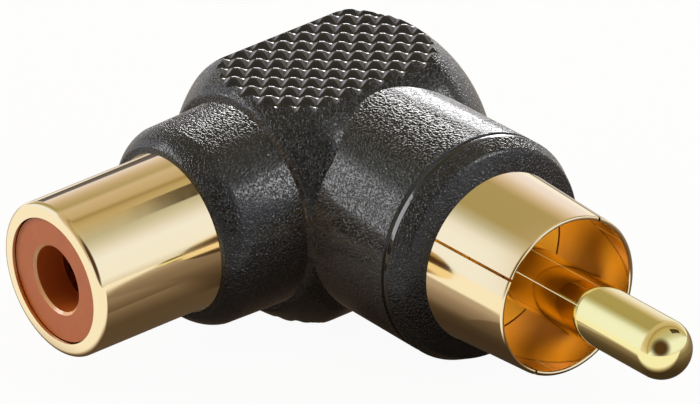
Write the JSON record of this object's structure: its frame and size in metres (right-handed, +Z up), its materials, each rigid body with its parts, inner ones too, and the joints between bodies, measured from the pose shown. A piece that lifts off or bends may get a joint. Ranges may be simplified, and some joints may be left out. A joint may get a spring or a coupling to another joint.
{
  "type": "right-angle rca adapter",
  "caption": "Black moulded elbow with a gold-plated RCA plug on one arm, an RCA jack on the other, and a diamond-grip pad on the hub's top and underside.",
  "frame": {"origin": "middle of the hub's lower grip pad, right under the point where the axes of the two arms cross", "axes": "+X out along the plug, -Y out along the jack, +Z up through the hub's upper grip pad"},
  "size_m": [0.0355, 0.0266, 0.0129],
  "materials": {
    "soft_black_vinyl": "spark-eroded grain, satin",
    "gold_plate": "polished gold plate",
    "orange_plastic": "satin",
    "natural_polyethylene": "as moulded",
    "tinned_copper": "drawn wire",
    "red_sleeve": "extruded, satin",
    "solder": "bright solder"
  },
  "bodies": {
    "root": {"moulded_body": "soft_black_vinyl", "plug_shell": "gold_plate", "plug_insulator": "orange_plastic", "centre_pin": "gold_plate", "jack_barrel": "gold_plate", "jack_insulator": "orange_plastic", "jack_contact": "gold_plate", "inner_mould": "natural_polyethylene", "signal_link": "tinned_copper", "link_sleeve": "red_sleeve", "ground_link": "tinned_copper", "solder_pin": "solder", "solder_contact": "solder", "solder_shell": "solder", "solder_barrel": "solder"}
  },
  "joints": []
}
